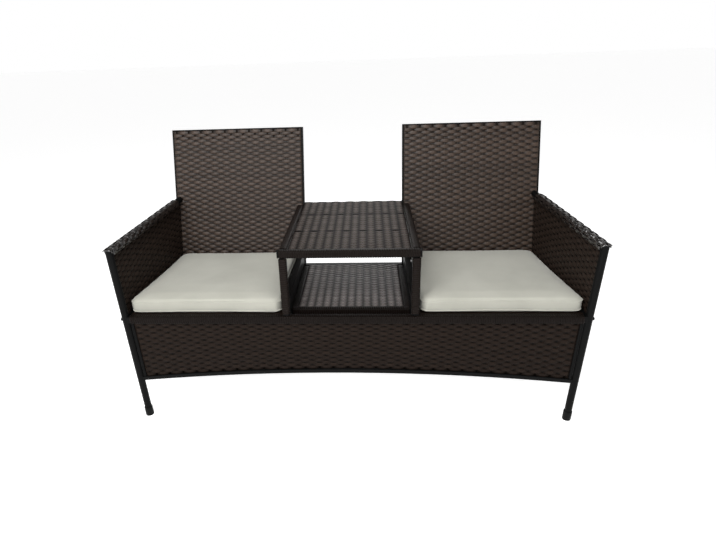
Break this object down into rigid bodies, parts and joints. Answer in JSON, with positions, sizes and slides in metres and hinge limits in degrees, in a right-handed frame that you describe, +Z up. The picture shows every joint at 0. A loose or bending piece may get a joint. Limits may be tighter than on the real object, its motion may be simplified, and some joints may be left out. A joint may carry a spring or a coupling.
{
  "type": "garden bench with table",
  "caption": "Woven garden bench with two cushioned seats, two separate leaning backrests and a small table with a shelf between them, on a black steel tube frame",
  "frame": {"origin": "middle of the bench's plan box, on the ground under it", "axes": "+X to the right as seen from the front, +Y from the front to the back, +Z up"},
  "size_m": [1.4307, 0.5998, 0.84],
  "materials": {
    "black_steel": "satin black powder coat",
    "rattan_weave": "flat dark brown plastic strand, plain weave",
    "rattan_wrap": "flat dark brown plastic strand, wound",
    "cushion_fabric": "cream woven cover",
    "cap_plastic": "black moulded",
    "fastener_steel": "dark zinc"
  },
  "bodies": {
    "frame": {"apron_lower_rail": "black_steel", "apron_stile_left": "black_steel", "apron_stile_right": "black_steel", "apron_weave": "rattan_weave", "arm_rail_left": "black_steel", "arm_rail_right": "black_steel", "arm_weave_left": "rattan_weave", "arm_weave_right": "rattan_weave", "arm_wrap_left": "rattan_wrap", "arm_wrap_right": "rattan_wrap", "back_foot_bar_left": "black_steel", "back_foot_bar_right": "black_steel", "back_inner_upright_left": "black_steel", "back_inner_upright_right": "black_steel", "back_outer_upright_left": "black_steel", "back_outer_upright_right": "black_steel", "back_top_bar_left": "black_steel", "back_top_bar_right": "black_steel", "back_weave_left": "rattan_weave", "back_weave_right": "rattan_weave", "cushion_guard_left": "black_steel", "cushion_guard_right": "black_steel", "foot_caps": "cap_plastic", "frame_bolts": "fastener_steel", "front_leg_left": "black_steel", "front_leg_right": "black_steel", "rear_leg_left": "black_steel", "rear_leg_right": "black_steel", "seat_bearer_left": "black_steel", "seat_bearer_right": "black_steel", "seat_front_rail": "black_steel", "seat_front_rail_wrap": "rattan_wrap", "seat_inner_rail_left": "black_steel", "seat_inner_rail_right": "black_steel", "seat_rear_rail": "black_steel", "seat_side_rail_left": "black_steel", "seat_side_rail_right": "black_steel", "seat_weave_left": "rattan_weave", "seat_weave_right": "rattan_weave", "shelf_bar_front": "black_steel", "shelf_bar_left": "black_steel", "shelf_bar_rear": "black_steel", "shelf_bar_right": "black_steel", "shelf_weave": "rattan_weave", "table_cross_rods": "black_steel", "table_frame_wrap": "rattan_wrap", "table_front_bar": "black_steel", "table_post_left": "black_steel", "table_post_right": "black_steel", "table_rear_bar": "black_steel", "table_side_bar_left": "black_steel", "table_side_bar_right": "black_steel", "table_top_weave": "rattan_weave", "threaded_plugs": "fastener_steel", "tube_end_plugs": "cap_plastic"},
    "cushion_left": {"seat_cushion_left": "cushion_fabric"},
    "cushion_right": {"seat_cushion_right": "cushion_fabric"}
  },
  "joints": [
    {"name": "cushion_left_lift", "type": "slide", "parent": "frame", "child": "cushion_left", "axis": [0, -0.6, 0.8], "range_m": [0, 0.3]},
    {"name": "cushion_right_lift", "type": "slide", "parent": "frame", "child": "cushion_right", "axis": [0, -0.6, 0.8], "range_m": [0, 0.3]}
  ]
}
